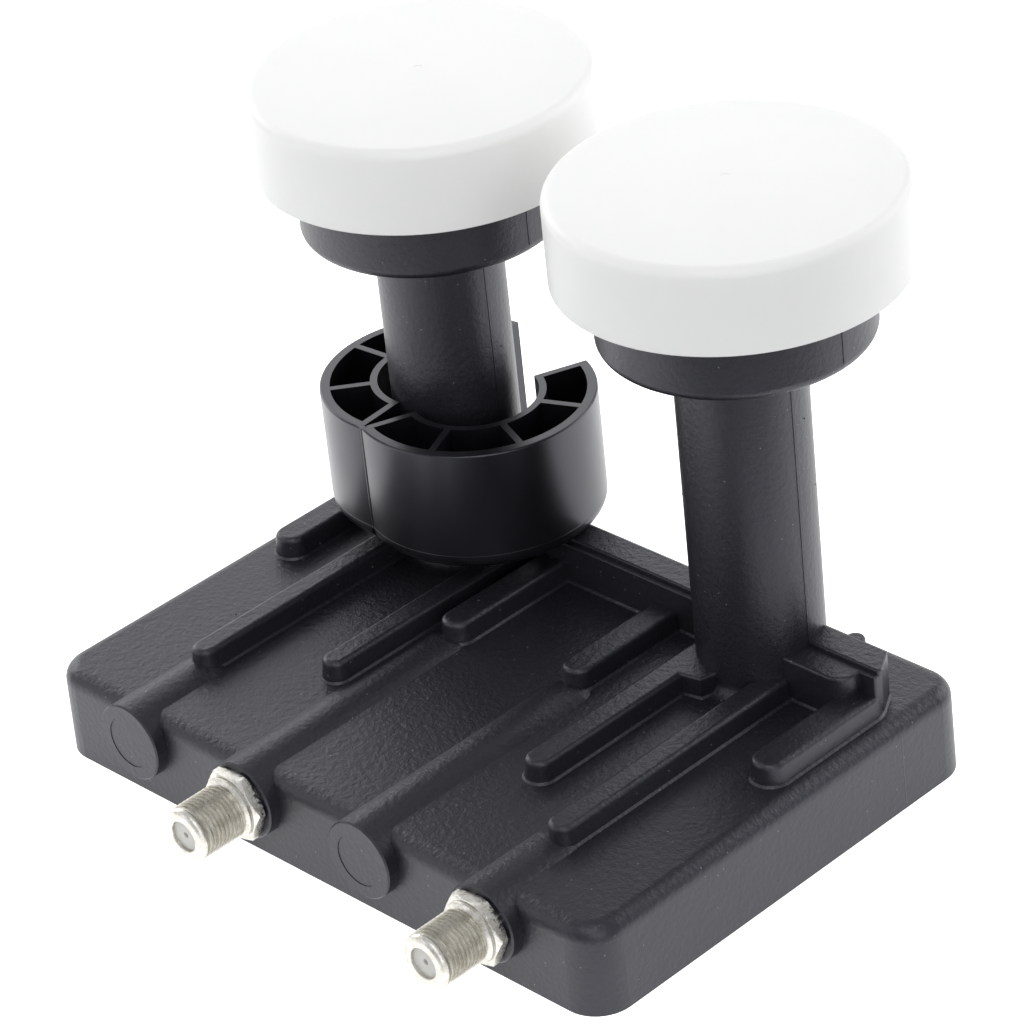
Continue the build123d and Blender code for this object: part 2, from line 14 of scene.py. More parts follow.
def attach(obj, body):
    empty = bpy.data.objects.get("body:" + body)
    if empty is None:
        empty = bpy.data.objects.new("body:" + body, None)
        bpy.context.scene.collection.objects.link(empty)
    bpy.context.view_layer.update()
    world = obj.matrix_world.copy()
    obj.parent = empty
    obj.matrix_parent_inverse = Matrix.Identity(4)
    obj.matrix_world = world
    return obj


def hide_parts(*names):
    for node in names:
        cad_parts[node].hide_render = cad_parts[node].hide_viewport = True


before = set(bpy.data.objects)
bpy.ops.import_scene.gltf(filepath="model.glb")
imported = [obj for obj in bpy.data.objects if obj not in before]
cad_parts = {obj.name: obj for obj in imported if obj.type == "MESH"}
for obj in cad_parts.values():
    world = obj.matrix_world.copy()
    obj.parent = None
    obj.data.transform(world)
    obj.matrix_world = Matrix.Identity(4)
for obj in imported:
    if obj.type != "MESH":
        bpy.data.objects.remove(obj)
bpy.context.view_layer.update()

MM = 0.001

# Places repeated from the solids
LIVE_PORTS = {"left": -13.15, "right": 39.45}
BOSS_Y = -44.6
PORT_Z = 10.3
PARTING_Y = 26.5
WEB_TOP = 23.8

# F connector: shank inside the boss, hexagon, shoulder, threaded barrel and the lip at its end
SHANK_R = 4.0
SHANK_L = 9.6
HEX_FLATS = 11.0
HEX_T = 2.2
HEX_TURN = -4.5
HEX_CONE = 60.0
HEX_BACK_R = 5.45
HEX_FRONT_R = 5.35
SHOULDER_R = 5.15
SHOULDER_T = 0.7
BARREL_L = 12.1
LIP_R = 4.5
LIP_L = 1.1
MOUTH_R = 2.6
MOUTH_DEPTH = 4.0
RING_POINTS = 96

# Its 3/8-32 thread: the ridge's foot and crest are shares of the pitch, and its ends fade out
THREAD_R = 4.7625
THREAD_PITCH = 25.4 / 32
THREAD_DEPTH = 0.48
THREAD_TURNS = 10.4
THREAD_START = 0.1
THREAD_STEPS = 48
THREAD_FOOT = 0.92
THREAD_CREST = 0.2
THREAD_FADE = 1.6
THREAD_TIP = 0.08
SHARP_EDGE = 28

# Textured powder coat and the parting line down the short ends of the body
COAT_LUMPS = 0.9
COAT_GRAIN = 0.4
COAT_RELIEF = 0.1
COAT_SHEEN = 14.0
DUST_SPACING = 2.2
PARTING_HALF = 0.2
PARTING_TOP = 13.0

# Moulded black plastic and its parting line, which lies this far above the web
MOULD_LINE_RISE = 2.9
MOULD_LINE_HALF = 0.14
MOULD_GRAIN = 0.3
MOULD_FLOW = 7.0
MOULD_RELIEF = 0.06

# Nickel plate, painted shade in its thread's grooves, and coat that ran onto it: the spill grows
# per metre across
NICKEL_SPECKLE = 0.3
NICKEL_PATCH = 1.4
NICKEL_RELIEF = 0.02
# The grooves' painted shade: none within this much of the crest, and this share of darker grey at
# the root
GROOVE_SHADE_CLEAR = 0.12
GROOVE_SHADE_SHARE = 0.34
SPILL_FLECK = 0.7
SPILL_SLOPE = 0.018 / MM

# Laminate: weave, haze and relief
WEAVE = 0.6
WEAVE_HAZE = 2.0
WEAVE_RELIEF = 0.01

# Paint nibs lie between these heights, at most this many to a square metre
NIB_LOW = 15.0
NIB_HIGH = 86.0
NIB_SPACING = 9.0
NIB_SMALLEST = 0.06
NIB_LARGEST = 0.16
NIB_DENSITY = 9000.0
NIB_SEED = 7

# The photograph's viewpoint, found by fitting the solids' known points to it; turn is from -Y to +X
CAMERA_TURN = 47.68
CAMERA_LIFT = 31.27
CAMERA_ROLL = -6.27
CAMERA_TARGET = (-51.03, 53.0, 0.0)
CAMERA_AWAY = 794.6
SENSOR = 36.0
FOCAL_PIXELS = 4576.56
PHOTO_PIXELS = 1024

# The floor ends this far from the part's middle on the camera's side, so that side stays dim
FLOOR_EDGE = 98.0
FLOOR_DROP = 0.05
FLOOR_HALF = 3.0  # metres
FLOOR_GLOW = 0.98
WORLD_LIGHT = 0.52

# Soft panels round the part, in metres: how far away, how high, and the point that they face
PANEL_AWAY = 1.1
PANEL_H = 0.6
PANEL_AIM = (0, 0, 0.04)
# Turn from -Y to +X and lift in degrees, width in metres, watts
PANELS = {
    "low_left": (-95, 22, 0.8, 4.7),
    "low_left_rear": (-140, 22, 0.7, 1.9),
    "low_front_left": (-35, 22, 0.6, 1.3),
    "low_front": (60, 15, 0.6, 2.3),
    "low_rear": (162, 22, 0.8, 4.0),
    "high_front": (35, 55, 0.6, 2.8),
    "high_rear": (-165, 55, 0.7, 0.5),
}


def linear(code):
    """sRGB hex to the linear RGBA that shaders take."""
    parts = [int(code[i:i + 2], 16) / 255 for i in (1, 3, 5)]
    return (*(c / 12.92 if c <= 0.04045 else ((c + 0.055) / 1.055) ** 2.4 for c in parts), 1.0)


def direction(turn, lift):
    """Unit vector at a turn from -Y towards +X and a lift above the floor, both in degrees."""
    turn, lift = math.radians(turn), math.radians(lift)
    return Vector((
        math.sin(turn) * math.cos(lift), -math.cos(turn) * math.cos(lift), math.sin(lift)))


def add(tree, kind, inputs=None, **settings):
    """Add a node; an input is a value, or an output socket to link from."""
    node = tree.nodes.new(kind)
    for name, value in settings.items():
        setattr(node, name, value)
    for key, value in (inputs or {}).items():
        if isinstance(key, int):
            socket = node.inputs[key]
        else:
            socket = next(s for s in node.inputs if key in (s.identifier, s.name) and s.enabled)
        if isinstance(value, bpy.types.NodeSocket):
            tree.links.new(value, socket)
        else:
            socket.default_value = value
    return node


def material_of(name, constants, surface):
    """A material: constants sit on the shader, and surface(tree, place) gives what is linked."""
    material = bpy.data.materials.new(name)
    material.use_nodes = True
    tree = material.node_tree
    tree.nodes.clear()
    place = add(tree, "ShaderNodeTexCoord").outputs["Object"]
    shader = add(tree, "ShaderNodeBsdfPrincipled", {**constants, **surface(tree, place)})
    add(tree, "ShaderNodeOutputMaterial", {"Surface": shader.outputs["BSDF"]})
    return material


def clouded(tones, tone_mm, gloss, gloss_mm, grain_mm, depth_mm):
    """A surface whose tone, roughness and relief vary by noise, each on its own scale."""
    def surface(tree, place):
        cloud = add(tree, "ShaderNodeTexNoise", {
            "Vector": place, "Scale": 1 / (tone_mm * MM), "Detail": 3.0})
        tone = add(tree, "ShaderNodeMix", {
            "Factor_Float": cloud.outputs["Fac"], "A_Color": linear(tones[0]),
            "B_Color": linear(tones[1])}, data_type="RGBA")
        haze = add(tree, "ShaderNodeTexNoise", {
            "Vector": place, "Scale": 1 / (gloss_mm * MM), "Detail": 3.0})
        rough = add(tree, "ShaderNodeMapRange", {
            "Value": haze.outputs["Fac"], "To Min": gloss[0], "To Max": gloss[1]})
        grain = add(tree, "ShaderNodeTexNoise", {
            "Vector": place, "Scale": 1 / (grain_mm * MM), "Detail": 2.0})
        relief = add(tree, "ShaderNodeBump", {
            "Height": grain.outputs["Fac"], "Distance": depth_mm * MM, "Strength": 0.5})
        return {"Base Color": tone.outputs[2], "Roughness": rough.outputs["Result"],
                "Normal": relief.outputs["Normal"]}
    return surface


def coat_surface(tree, place):
    """Leathery lumps under a finer grain, weaker on upright faces, with dust specks."""
    lumps = add(tree, "ShaderNodeTexNoise", {
        "Vector": place, "Scale": 1 / (COAT_LUMPS * MM), "Detail": 0.0})
    grain = add(tree, "ShaderNodeTexNoise", {
        "Vector": place, "Scale": 1 / (COAT_GRAIN * MM), "Detail": 2.0, "Roughness": 0.6})
    facing = add(tree, "ShaderNodeSeparateXYZ", {
        0: add(tree, "ShaderNodeNewGeometry").outputs["True Normal"]})
    depth = add(tree, "ShaderNodeMapRange", {
        "Value": facing.outputs["Z"], "From Min": 0.2, "From Max": 0.9,
        "To Min": 0.4, "To Max": 0.8})
    height = add(tree, "ShaderNodeMath", {
        0: lumps.outputs["Fac"], 1: grain.outputs["Fac"]}, operation="ADD")
    # The parting line stands out of the coat, on the ends' lower part alone
    apart = add(tree, "ShaderNodeSeparateXYZ", {0: place})
    off = add(tree, "ShaderNodeMath", {
        0: apart.outputs["Y"], 1: PARTING_Y * MM}, operation="SUBTRACT")
    off = add(tree, "ShaderNodeMath", {0: off.outputs[0]}, operation="ABSOLUTE")
    line = add(tree, "ShaderNodeMapRange", {
        "Value": off.outputs[0], "From Max": PARTING_HALF * MM, "To Min": 0.7, "To Max": 0.0},
        interpolation_type="SMOOTHSTEP")
    low = add(tree, "ShaderNodeMath", {
        0: apart.outputs["Z"], 1: PARTING_TOP * MM}, operation="LESS_THAN")
    height = add(tree, "ShaderNodeMath", {
        0: line.outputs[0], 1: low.outputs[0], 2: height.outputs[0]}, operation="MULTIPLY_ADD")
    relief = add(tree, "ShaderNodeBump", {
        "Height": height.outputs[0], "Distance": COAT_RELIEF * MM,
        "Strength": depth.outputs["Result"]})
    speckle = add(tree, "ShaderNodeMapRange", {
        "Value": grain.outputs["Fac"], "From Min": 0.3, "From Max": 0.7})
    tone = add(tree, "ShaderNodeMix", {
        "Factor_Float": speckle.outputs[0], "A_Color": linear("#141418"),
        "B_Color": linear("#1D1D23")}, data_type="RGBA")
    # Dust specks up to 0.3 mm across
    dots = add(tree, "ShaderNodeTexVoronoi", {"Vector": place, "Scale": 1 / (DUST_SPACING * MM)})
    speck = add(tree, "ShaderNodeMapRange", {
        "Value": dots.outputs["Distance"], "From Min": 0.03, "From Max": 0.07,
        "To Min": 0.6, "To Max": 0.0})
    tone = add(tree, "ShaderNodeMix", {
        "Factor_Float": speck.outputs[0], "A_Color": tone.outputs[2],
        "B_Color": linear("#8C8C90")}, data_type="RGBA")
    broad = add(tree, "ShaderNodeTexNoise", {
        "Vector": place, "Scale": 1 / (COAT_SHEEN * MM), "Detail": 2.0})
    rough = add(tree, "ShaderNodeMapRange", {
        "Value": broad.outputs["Fac"], "To Min": 0.38, "To Max": 0.46})
    return {"Base Color": tone.outputs[2], "Roughness": rough.outputs["Result"],
            "Normal": relief.outputs["Normal"]}


def adapter_surface(tree, place):
    """A slight flow pattern, a fine grain and a raised parting line round the ring's foot."""
    high = add(tree, "ShaderNodeSeparateXYZ", {0: place})
    off = add(tree, "ShaderNodeMath", {
        0: high.outputs["Z"], 1: (WEB_TOP + MOULD_LINE_RISE) * MM}, operation="SUBTRACT")
    off = add(tree, "ShaderNodeMath", {0: off.outputs[0]}, operation="ABSOLUTE")
    line = add(tree, "ShaderNodeMapRange", {
        "Value": off.outputs[0], "From Max": MOULD_LINE_HALF * MM, "To Min": 1.0, "To Max": 0.0})
    grain = add(tree, "ShaderNodeTexNoise", {
        "Vector": place, "Scale": 1 / (MOULD_GRAIN * MM), "Detail": 2.0})
    height = add(tree, "ShaderNodeMath", {
        0: grain.outputs["Fac"], 1: 0.25, 2: line.outputs[0]}, operation="MULTIPLY_ADD")
    relief = add(tree, "ShaderNodeBump", {
        "Height": height.outputs[0], "Distance": MOULD_RELIEF * MM, "Strength": 0.5})
    flow = add(tree, "ShaderNodeTexNoise", {
        "Vector": place, "Scale": 1 / (MOULD_FLOW * MM), "Detail": 3.0})
    tone = add(tree, "ShaderNodeMix", {
        "Factor_Float": flow.outputs["Fac"], "A_Color": linear("#0A0A0E"),
        "B_Color": linear("#101014")}, data_type="RGBA")
    rough = add(tree, "ShaderNodeMapRange", {
        "Value": flow.outputs["Fac"], "To Min": 0.26, "To Max": 0.36})
    return {"Base Color": tone.outputs[2], "Roughness": rough.outputs["Result"],
            "Normal": relief.outputs["Normal"]}


def nickel_surface(tree, place):
    """Speckled satin plate with painted shade between the threads and black coat on the hexagon."""
    # Place from the nearer connector's axis: across (signed), radius, and the distance along Y
    apart = add(tree, "ShaderNodeSeparateXYZ", {0: place})
    half = (LIVE_PORTS["right"] - LIVE_PORTS["left"]) / 2 * MM
    across = add(tree, "ShaderNodeMath", {
        0: apart.outputs["X"], 1: LIVE_PORTS["left"] * MM}, operation="SUBTRACT")
    across = add(tree, "ShaderNodeMath", {
        0: across.outputs[0], 1: half, 2: -half}, operation="WRAP")
    up = add(tree, "ShaderNodeMath", {
        0: apart.outputs["Z"], 1: PORT_Z * MM}, operation="SUBTRACT")
    flat = add(tree, "ShaderNodeCombineXYZ", {
        "X": across.outputs[0], "Y": up.outputs[0], "Z": 0.0})
    radius = add(tree, "ShaderNodeVectorMath", {0: flat.outputs[0]}, operation="LENGTH")

    speckle = add(tree, "ShaderNodeTexNoise", {
        "Vector": place, "Scale": 1 / (NICKEL_SPECKLE * MM), "Detail": 2.0, "Roughness": 0.7})
    patches = add(tree, "ShaderNodeTexNoise", {
        "Vector": place, "Scale": 1 / (NICKEL_PATCH * MM), "Detail": 3.0, "Roughness": 0.6})
    worn = add(tree, "ShaderNodeMath", {
        0: speckle.outputs["Fac"], 1: patches.outputs["Fac"]}, operation="MULTIPLY")
    worn = add(tree, "ShaderNodeMapRange", {
        "Value": worn.outputs[0], "From Min": 0.15, "From Max": 0.38})
    plate = add(tree, "ShaderNodeMix", {
        "Factor_Float": worn.outputs[0], "A_Color": linear("#E2E0DA"),
        "B_Color": linear("#BDB9AE")}, data_type="RGBA")

    # Painted shade in the thread's grooves, between the shoulder and the lip: the plate turns
    # darker grey towards the thread's root
    groove = add(tree, "ShaderNodeMapRange", {
        "Value": radius.outputs["Value"], "From Min": (THREAD_R - THREAD_DEPTH) * MM,
        "From Max": (THREAD_R - GROOVE_SHADE_CLEAR) * MM, "To Min": GROOVE_SHADE_SHARE, "To Max": 0.0})
    behind = add(tree, "ShaderNodeMath", {
        0: apart.outputs["Y"], 1: (BOSS_Y - HEX_T - SHOULDER_T) * MM}, operation="LESS_THAN")
    before = add(tree, "ShaderNodeMath", {
        0: apart.outputs["Y"], 1: (BOSS_Y - BARREL_L + LIP_L) * MM}, operation="GREATER_THAN")
    groove_shade = add(tree, "ShaderNodeMath", {
        0: behind.outputs[0], 1: before.outputs[0]}, operation="MULTIPLY")
    groove_shade = add(tree, "ShaderNodeMath", {
        0: groove_shade.outputs[0], 1: groove.outputs[0]}, operation="MULTIPLY")
    # The plate mixed towards darker grey where the grooves' painted shade falls
    shaded_plate = add(tree, "ShaderNodeMix", {
        "Factor_Float": groove_shade.outputs[0], "A_Color": plate.outputs[2],
        "B_Color": linear("#9E9A91")}, data_type="RGBA")
    rough = add(tree, "ShaderNodeMapRange", {
        "Value": patches.outputs["Fac"], "To Min": 0.34, "To Max": 0.48})
    relief = add(tree, "ShaderNodeBump", {
        "Height": speckle.outputs["Fac"], "Distance": NICKEL_RELIEF * MM, "Strength": 0.5})

    # Coat on the hexagon: thickest beside the boss and on its +X side
    near = add(tree, "ShaderNodeMapRange", {
        "Value": apart.outputs["Y"], "From Min": (BOSS_Y - HEX_T) * MM, "From Max": BOSS_Y * MM,
        "To Min": -0.22, "To Max": 0.04})
    side = add(tree, "ShaderNodeMath", {
        0: across.outputs[0], 1: SPILL_SLOPE, 2: near.outputs[0]}, operation="MULTIPLY_ADD")
    flecks = add(tree, "ShaderNodeTexNoise", {
        "Vector": place, "Scale": 1 / (SPILL_FLECK * MM), "Detail": 5.0, "Roughness": 0.8})
    spill = add(tree, "ShaderNodeMath", {
        0: flecks.outputs["Fac"], 1: side.outputs[0]}, operation="ADD")
    spill = add(tree, "ShaderNodeMapRange", {
        "Value": spill.outputs[0], "From Min": 0.53, "From Max": 0.6})
    tone = add(tree, "ShaderNodeMix", {
        "Factor_Float": spill.outputs[0], "A_Color": shaded_plate.outputs[2],
        "B_Color": linear("#2A2A2D")}, data_type="RGBA")
    metal = add(tree, "ShaderNodeMath", {0: 1.0, 1: spill.outputs[0]}, operation="SUBTRACT")
    return {"Base Color": tone.outputs[2], "Roughness": rough.outputs["Result"],
            "Metallic": metal.outputs[0], "Normal": relief.outputs["Normal"]}


def laminate_surface(tree, place):
    """Green lacquer over glass-fibre laminate, whose weave shows through."""
    weave = add(tree, "ShaderNodeTexWave", {
        "Vector": place, "Scale": 0.5 / (WEAVE * MM), "Distortion": 0.5},
        bands_direction="DIAGONAL")
    tone = add(tree, "ShaderNodeMix", {
        "Factor_Float": weave.outputs["Fac"], "A_Color": linear("#1E5A35"),
        "B_Color": linear("#246B40")}, data_type="RGBA")
    haze = add(tree, "ShaderNodeTexNoise", {
        "Vector": place, "Scale": 1 / (WEAVE_HAZE * MM), "Detail": 2.0})
    rough = add(tree, "ShaderNodeMapRange", {
        "Value": haze.outputs["Fac"], "To Min": 0.3, "To Max": 0.4})
    relief = add(tree, "ShaderNodeBump", {
        "Height": weave.outputs["Fac"], "Distance": WEAVE_RELIEF * MM, "Strength": 0.4})
    return {"Base Color": tone.outputs[2], "Roughness": rough.outputs["Result"],
            "Normal": relief.outputs["Normal"]}


PLASTIC = {"Metallic": 0.0, "IOR": 1.52}
METAL = {"Metallic": 1.0}
CLOUDY = {
    "Subsurface Weight": 0.3, "Subsurface Radius": (1.0, 0.95, 0.85),
    "Subsurface Scale": 3.0 * MM}
COOL_GLOSS = {"Metallic": 0.0, "Specular Tint": linear("#F4F5FF")}

# Sprayed and baked on the casting: near black, with a cool satin sheen over a leathery relief
coat = material_of("textured_powder_coat", {**COOL_GLOSS, "IOR": 1.58}, coat_surface)
# Injection moulded and smoother than the coat: deeper black with soft streaks of light
adapter_plastic = material_of(
    "moulded_black_plastic", {**COOL_GLOSS, "IOR": 1.6}, adapter_surface)
# Turned, then barrel plated: pale warm silver and satin, with painted shade in the thread's grooves
nickel = material_of("nickel_plated_brass", {}, nickel_surface)
# Pressed board under lacquer: dark green with a slight gloss
laminate = material_of("lacquered_laminate", PLASTIC, laminate_surface)
# Injection moulded and thin: plain satin white that light bleeds through
cap_plastic = material_of("white_polypropylene", {**PLASTIC, **CLOUDY}, clouded(
    tones=("#F4F4F1", "#EFEFEB"), tone_mm=18.0, gloss=(0.38, 0.5), gloss_mm=5.0,
    grain_mm=0.35, depth_mm=0.01))
# Moulded without pigment: milky grey-white and dull
insulator_plastic = material_of("milky_polyethylene", {**PLASTIC, **CLOUDY}, clouded(
    tones=("#D9D8D2", "#C8C7BF"), tone_mm=1.2, gloss=(0.4, 0.55), gloss_mm=0.8,
    grain_mm=0.25, depth_mm=0.01))
# Left bare from the die: cloudy grey metal, matt and slightly rough
cast_metal = material_of("die_cast_aluminium", METAL, clouded(
    tones=("#9A9B9D", "#B1B2B3"), tone_mm=7.0, gloss=(0.42, 0.6), gloss_mm=3.0,
    grain_mm=0.5, depth_mm=0.03))
# Stamped or rolled, then plated: even light grey with a soft shine
steel = material_of("zinc_plated_steel", METAL, clouded(
    tones=("#B4B4B2", "#9FA0A0"), tone_mm=0.8, gloss=(0.28, 0.42), gloss_mm=0.6,
    grain_mm=0.2, depth_mm=0.01))
# Turned and left bare: yellow metal gone slightly dull
brass = material_of("dulled_brass", METAL, clouded(
    tones=("#C2A35A", "#A98B48"), tone_mm=0.7, gloss=(0.25, 0.4), gloss_mm=0.5,
    grain_mm=0.15, depth_mm=0.01))
# Moulded round the chips: matt near black with a fine grain
resin = material_of("moulded_epoxy_resin", PLASTIC, clouded(
    tones=("#1C1C1D", "#262627"), tone_mm=0.2, gloss=(0.55, 0.7), gloss_mm=0.4,
    grain_mm=0.12, depth_mm=0.01))
# Moulded seals: soft matt black
rubber = material_of("nitrile_rubber", PLASTIC, clouded(
    tones=("#1A1A1A", "#262626"), tone_mm=1.5, gloss=(0.62, 0.78), gloss_mm=0.8,
    grain_mm=0.2, depth_mm=0.02))

FINISHES = {
    "housing": coat,
    "base_cover": cast_metal,
    "rf_shield": cast_metal,
    "cover_gasket": rubber,
    "cap_seal_left": rubber,
    "cap_seal_right": rubber,
    "f_seal_left": rubber,
    "f_seal_right": rubber,
    "cover_screws": steel,
    "shield_screws": steel,
    "oscillator_cans": steel,
    "circuit_board": laminate,
    "receiver_chips": resin,
    "probe_pins": brass,
    "f_contact_left": brass,
    "f_contact_right": brass,
    "f_insulator_left": insulator_plastic,
    "f_insulator_right": insulator_plastic,
    "f_connector_left": nickel,
    "f_connector_right": nickel,
    "feed_cap_left": cap_plastic,
    "feed_cap_right": cap_plastic,
    "adapter_fixed_half": adapter_plastic,
    "adapter_swing_half": adapter_plastic,
}
for node_name, material in FINISHES.items():
    for material_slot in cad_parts[node_name].material_slots:
        material_slot.material = material


def new_object(name, data):
    """An object of this mesh, lamp or lens, linked to the scene."""
    placed = bpy.data.objects.new(name, data)
    bpy.context.collection.objects.link(placed)
    return placed


def grown(piece, tree, values):
    """Run a geometry tree on the piece and keep the result as its plain mesh."""
    modifier = piece.modifiers.new(tree.name, "NODES")
    modifier.node_group = tree
    for socket in tree.interface.items_tree:
        if socket.in_out == "INPUT" and socket.name in values:
            modifier[socket.identifier] = values[socket.name]
    depsgraph = bpy.context.evaluated_depsgraph_get()
    mesh = bpy.data.meshes.new_from_object(piece.evaluated_get(depsgraph), depsgraph=depsgraph)
    piece.modifiers.clear()
    piece.data = mesh
    return piece


def geometry_tree(name, inputs):
    """A new tree with a geometry in and out, and the named inputs."""
    tree = bpy.data.node_groups.new(name, "GeometryNodeTree")
    tree.interface.new_socket("Geometry", in_out="INPUT", socket_type="NodeSocketGeometry")
    for label, kind in inputs.items():
        tree.interface.new_socket(label, in_out="INPUT", socket_type="NodeSocket" + kind)
    tree.interface.new_socket("Geometry", in_out="OUTPUT", socket_type="NodeSocketGeometry")
    return tree, tree.nodes.new("NodeGroupInput").outputs


def close_tree(tree, geometry, finish):
    """End a tree with real meshes that carry their material."""
    real = add(tree, "GeometryNodeRealizeInstances", {"Geometry": geometry}).outputs["Geometry"]
    done = add(tree, "GeometryNodeSetMaterial", {"Geometry": real, "Material": finish})
    output = tree.nodes.new("NodeGroupOutput")
    tree.links.new(done.outputs["Geometry"], output.inputs["Geometry"])


def thread_tree():
    """A ridge that climbs the barrel in a helix and fades at both ends, joined to the body."""
    tree, given = geometry_tree("thread", {
        "Pitch": "Float", "Turns": "Float", "Root radius": "Float", "Depth": "Float",
        "Start": "Vector", "Finish": "Material"})
    rise = add(tree, "ShaderNodeMath", {
        0: given["Pitch"], 1: given["Turns"]}, operation="MULTIPLY").outputs[0]
    helix = add(tree, "GeometryNodeCurveSpiral", {
        "Resolution": THREAD_STEPS, "Rotations": given["Turns"],
        "Start Radius": given["Root radius"], "End Radius": given["Root radius"],
        "Height": rise, "Reverse": True}).outputs["Curve"]
    helix = add(tree, "GeometryNodeSetCurveNormal", {
        "Curve": helix}, mode="Z_UP").outputs["Curve"]

    foot = add(tree, "ShaderNodeMath", {
        0: given["Pitch"], 1: THREAD_FOOT}, operation="MULTIPLY").outputs[0]
    crest = add(tree, "ShaderNodeMath", {
        0: given["Pitch"], 1: THREAD_CREST}, operation="MULTIPLY").outputs[0]
    flank = add(tree, "GeometryNodeCurvePrimitiveQuadrilateral", {
        "Bottom Width": foot, "Top Width": crest, "Height": given["Depth"], "Offset": 0.0},
        mode="TRAPEZOID").outputs["Curve"]
    half = add(tree, "ShaderNodeMath", {
        0: given["Depth"], 1: 0.5}, operation="MULTIPLY").outputs[0]
    up = add(tree, "ShaderNodeCombineXYZ", {"X": 0.0, "Y": half, "Z": 0.0}).outputs[0]
    flank = add(tree, "GeometryNodeTransform", {
        "Geometry": flank, "Translation": up}).outputs["Geometry"]

    # Turns from the nearer end set how far the ridge stands out
    along = add(tree, "GeometryNodeSplineParameter").outputs["Factor"]
    back = add(tree, "ShaderNodeMath", {0: 1.0, 1: along}, operation="SUBTRACT").outputs[0]
    near = add(tree, "ShaderNodeMath", {0: along, 1: back}, operation="MINIMUM").outputs[0]
    fade = add(tree, "ShaderNodeMath", {
        0: near, 1: given["Turns"]}, operation="MULTIPLY").outputs[0]
    fade = add(tree, "ShaderNodeMath", {
        0: fade, 1: THREAD_FADE, 2: THREAD_TIP}, operation="MULTIPLY_ADD",
        use_clamp=True).outputs[0]

    ridge = add(tree, "GeometryNodeCurveToMesh", {
        "Curve": helix, "Profile Curve": flank, "Scale": fade, "Fill Caps": True}).outputs["Mesh"]
    ridge = add(tree, "GeometryNodeTransform", {
        "Geometry": ridge, "Translation": given["Start"],
        "Rotation": (math.pi / 2, 0.0, 0.0)}).outputs["Geometry"]
    both = add(tree, "GeometryNodeJoinGeometry", {"Geometry": given["Geometry"]})
    tree.links.new(ridge, both.inputs["Geometry"])
    close_tree(tree, both.outputs["Geometry"], given["Finish"])
    return tree


def hex_radius(angle):
    """Distance from the axis to the hexagon's side at this angle."""
    sector = (angle + math.pi / 6) % (math.pi / 3) - math.pi / 6
    return HEX_FLATS / 2 / math.cos(sector)


def connector_rings():
    """The connector's outline: distance out of the boss, radius, and whether it is hexagonal."""
    cone = math.tan(math.radians(HEX_CONE))
    root = THREAD_R - THREAD_DEPTH
    collar = HEX_T + SHOULDER_T
    tip = BARREL_L
    shank = [(-SHANK_L, MOUTH_R, False), (-SHANK_L, SHANK_R, False), (0.0, SHANK_R, False)]
    hexagon = [(depth, HEX_BACK_R + depth * cone, True) for depth in (0.0, 0.25, 0.5)]
    hexagon += [(HEX_T - depth, HEX_FRONT_R + depth * cone, True)
                for depth in (0.55, 0.41, 0.27, 0.13, 0.0)]
    shoulder = [
        (HEX_T, SHOULDER_R - 0.1, False), (HEX_T + 0.05, SHOULDER_R, False),
        (collar - 0.2, SHOULDER_R, False), (collar, SHOULDER_R - 0.2, False)]
    barrel = [(collar + 0.3, root, False), (tip - LIP_L - 0.2, root, False)]
    lip = [
        (tip - LIP_L, LIP_R - 0.1, False), (tip - LIP_L + 0.1, LIP_R, False),
        (tip - 0.8, LIP_R, False), (tip - 0.5, LIP_R - 0.12, False),
        (tip - 0.2, LIP_R - 0.4, False), (tip - 0.05, LIP_R - 0.7, False),
        (tip, LIP_R - 0.95, False)]
    mouth = [
        (tip, MOUTH_R + 0.12, False), (tip - 0.12, MOUTH_R, False),
        (tip - MOUTH_DEPTH, MOUTH_R, False)]
    return shank + hexagon + shoulder + barrel + lip + mouth


def connector_body(x):
    """The turned body of one F connector, closed from its mouth back to its shank."""
    shape = bmesh.new()
    loops = []
    for out, radius, hexagonal in connector_rings():
        loop = []
        for i in range(RING_POINTS):
            angle = 2 * math.pi * i / RING_POINTS
            reach = min(radius, hex_radius(angle)) if hexagonal else radius
            turned = angle - math.radians(HEX_TURN) - math.pi / 6
            loop.append(shape.verts.new((
                (x + reach * math.cos(turned)) * MM, (BOSS_Y - out) * MM,
                (PORT_Z + reach * math.sin(turned)) * MM)))
        loops.append(loop)
    for near, far in zip(loops, loops[1:] + loops[:1]):
        for i in range(RING_POINTS):
            j = (i + 1) % RING_POINTS
            shape.faces.new((near[i], near[j], far[j], far[i]))
    bmesh.ops.remove_doubles(shape, verts=shape.verts, dist=1e-7)
    bmesh.ops.recalc_face_normals(shape, faces=shape.faces)
    mesh = bpy.data.meshes.new("connector_body")
    shape.to_mesh(mesh)
    shape.free()
    return mesh


# The threaded connectors stand for the plain ones of the solids
threads = thread_tree()
for side, x in LIVE_PORTS.items():
    connector = new_object(f"f_connector_{side}_threaded", connector_body(x))
    start = Vector((x, BOSS_Y - HEX_T - SHOULDER_T + THREAD_START, PORT_Z)) * MM
    grown(connector, threads, {
        "Pitch": THREAD_PITCH * MM, "Turns": THREAD_TURNS,
        "Root radius": (THREAD_R - THREAD_DEPTH) * MM, "Depth": THREAD_DEPTH * MM,
        "Start": start, "Finish": nickel})
    connector.data.shade_smooth()
    connector.data.set_sharp_from_angle(angle=math.radians(SHARP_EDGE))
    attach(connector, "lnb")
    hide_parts(f"f_connector_{side}")


